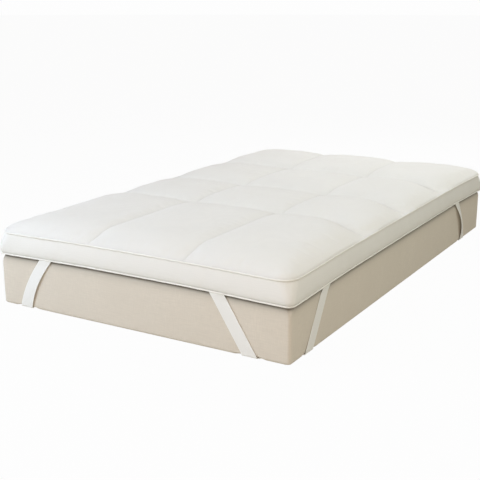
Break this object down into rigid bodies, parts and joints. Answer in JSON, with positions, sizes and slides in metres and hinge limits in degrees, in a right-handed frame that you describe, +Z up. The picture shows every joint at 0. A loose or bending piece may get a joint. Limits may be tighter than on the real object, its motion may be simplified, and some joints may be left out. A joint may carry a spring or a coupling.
{
  "type": "mattress topper on a mattress",
  "caption": "Thick quilted mattress topper with a filled, channelled top and piped edges, held on a plain mattress by wide elastic corner straps.",
  "frame": {"origin": "middle of the mattress's flat underside, on the surface it stands on", "axes": "+Z up, +Y along the bed towards the head end, +X across the bed to the right as seen from the foot end"},
  "size_m": [1.2178, 1.9992, 0.3204],
  "materials": {
    "mattress_fabric": "matt woven cover, beige",
    "topper_cotton": "matt fine cotton, off-white",
    "piping_cotton": "matt cotton welt, off-white",
    "strap_elastic": "ribbed elastic webbing, white"
  },
  "bodies": {
    "root": {"mattress": "mattress_fabric", "topper_pad": "topper_cotton", "piping_top": "piping_cotton", "piping_bottom": "piping_cotton", "strap_foot_right": "strap_elastic", "strap_foot_left": "strap_elastic", "strap_head_right": "strap_elastic", "strap_head_left": "strap_elastic"}
  },
  "joints": []
}
